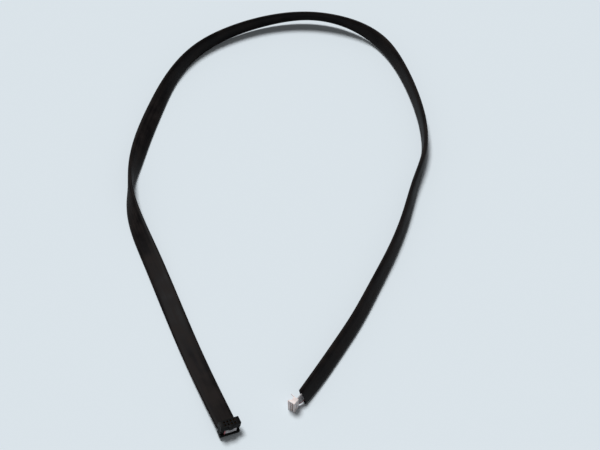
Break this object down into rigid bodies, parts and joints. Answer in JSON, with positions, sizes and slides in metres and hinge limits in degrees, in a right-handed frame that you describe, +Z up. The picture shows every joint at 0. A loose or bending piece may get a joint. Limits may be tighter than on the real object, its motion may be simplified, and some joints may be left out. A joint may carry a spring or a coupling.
{
  "type": "ribbon cable",
  "caption": "Flat ribbon cable in a black sleeve, laid in one loop, with a black two-row socket at one end and a white single-row crimp housing at the other.",
  "frame": {"origin": "middle of the laid cable's box, on the surface it lies on", "axes": "+Z up, +Y from the two connectors towards the far side of the loop, +X from the socket's run towards the white housing's run"},
  "size_m": [0.2588, 0.458, 0.0187],
  "materials": {
    "sleeve": "flexible black PVC tube with a satin skin",
    "ribbon": "light grey PVC ribbon insulation with a red first edge",
    "socket_moulding": "black glass-filled polyester, moulded",
    "housing_moulding": "natural white nylon, moulded",
    "core": "tinned copper strands",
    "contact": "phosphor bronze with a gold flash",
    "terminal": "tinned phosphor bronze"
  },
  "bodies": {
    "root": {"sleeve": "sleeve", "ribbon_insulation": "ribbon", "idc_body": "socket_moulding", "idc_cover": "socket_moulding", "strain_relief": "socket_moulding", "crimp_housing": "housing_moulding", "conductor_1": "core", "conductor_2": "core", "conductor_3": "core", "conductor_4": "core", "conductor_5": "core", "conductor_6": "core", "conductor_7": "core", "conductor_8": "core", "idc_contact_1": "contact", "idc_contact_2": "contact", "idc_contact_3": "contact", "idc_contact_4": "contact", "idc_contact_5": "contact", "idc_contact_6": "contact", "idc_contact_7": "contact", "idc_contact_8": "contact", "crimp_terminal_1": "terminal", "crimp_terminal_2": "terminal", "crimp_terminal_3": "terminal", "crimp_terminal_4": "terminal", "crimp_terminal_5": "terminal", "crimp_terminal_6": "terminal", "crimp_terminal_7": "terminal", "crimp_terminal_8": "terminal"}
  },
  "joints": []
}
